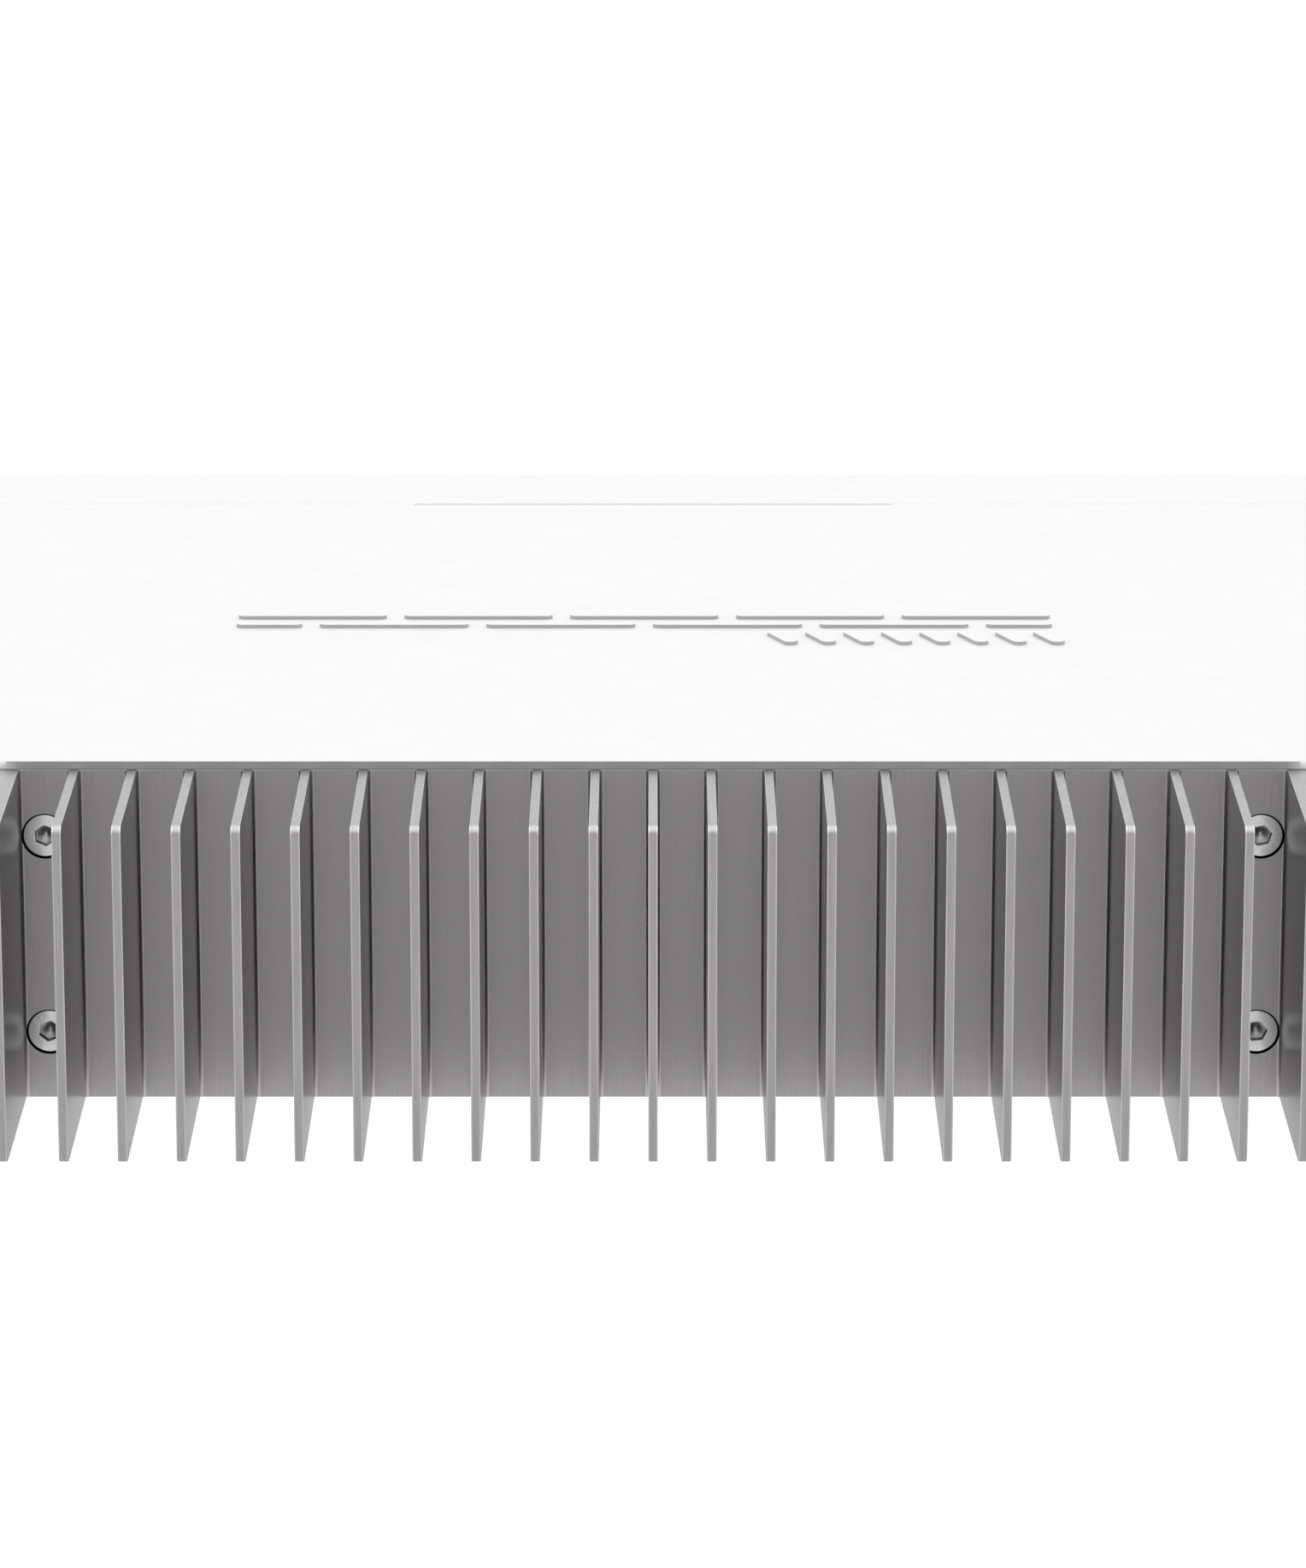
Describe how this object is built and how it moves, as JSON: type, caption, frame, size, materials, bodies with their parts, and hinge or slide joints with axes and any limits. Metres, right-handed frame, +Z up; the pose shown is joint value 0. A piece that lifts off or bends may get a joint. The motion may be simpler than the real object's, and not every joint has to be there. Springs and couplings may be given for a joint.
{
  "type": "desktop network router",
  "caption": "Fanless desktop network router: white sheet-steel case with a finned aluminium heat sink as its rear wall, network sockets on the front.",
  "frame": {"origin": "on the surface that the feet stand on, under the middle of the object's box", "axes": "+Z up, +Y towards the rear where the heat sink's fins point, +X to the right when the front panel is faced"},
  "size_m": [0.272, 0.1956, 0.0465],
  "materials": {
    "white_case": "fine white powder coat",
    "heat_sink_aluminium": "extruded, lengthwise brushed grain",
    "steel_screw": "satin, fine grain",
    "white_screw": "white, satin",
    "zinc_steel": "zinc plated",
    "foot_rubber": "matt",
    "circuit_board": "green solder mask",
    "brass": "turned",
    "chip_cap": "nickel plated",
    "thermal_pad": "matt",
    "socket_shield": "tin plated",
    "black_plastic": "moulded",
    "gold_contact": "gold plated",
    "clear_window": "frosted clear",
    "button_plastic": "moulded, light grey",
    "led_resin": "clear resin",
    "chip_resin": "moulded",
    "ferrite": "pressed ferrite",
    "capacitor_can": "can with a sleeve mark",
    "copper_winding": "enamelled copper",
    "ceramic_fuse": "glazed"
  },
  "bodies": {
    "router": {"chassis_tray": "white_case", "front_panel": "white_case", "top_lid": "white_case", "lid_band": "white_case", "heat_sink": "heat_sink_aluminium", "heat_sink_screws": "steel_screw", "heat_sink_bracket_left": "zinc_steel", "heat_sink_bracket_right": "zinc_steel", "bracket_screws": "steel_screw", "lid_rear_screws": "white_screw", "lid_side_screws": "white_screw", "front_panel_screws": "steel_screw", "rubber_feet": "foot_rubber", "main_board": "circuit_board", "board_standoffs": "brass", "board_screws": "steel_screw", "conduction_block": "heat_sink_aluminium", "conduction_block_screws": "steel_screw", "cpu_chip": "chip_cap", "cpu_thermal_pad": "thermal_pad", "ethernet_shield_left": "socket_shield", "ethernet_shield_right": "socket_shield", "ethernet_insert_left": "black_plastic", "ethernet_insert_right": "black_plastic", "ethernet_contacts_left": "gold_contact", "ethernet_contacts_right": "gold_contact", "link_light_windows": "clear_window", "console_shield": "socket_shield", "console_insert": "black_plastic", "console_contacts": "gold_contact", "module_cage_1": "socket_shield", "module_cage_2": "socket_shield", "module_connector_1": "black_plastic", "module_connector_2": "black_plastic", "power_jack_1": "black_plastic", "power_jack_2": "black_plastic", "power_jack_pins": "zinc_steel", "ground_screw": "steel_screw", "ground_washer": "zinc_steel", "reset_switch": "black_plastic", "status_light_pipes": "clear_window", "status_leds": "led_resin", "memory_chips": "chip_resin", "flash_chip": "chip_resin", "switch_chips": "chip_resin", "board_crystal": "zinc_steel", "power_inductors": "ferrite", "power_capacitors": "capacitor_can", "input_choke": "copper_winding", "input_fuses": "ceramic_fuse"},
    "reset_button": {"reset_button": "button_plastic"}
  },
  "joints": [
    {"name": "reset_press", "type": "slide", "parent": "router", "child": "reset_button", "axis": [0, 1, 0], "range_m": [0, 0.0005], "stiffness_N_per_m": 2000, "springref_m": -0.0003}
  ]
}
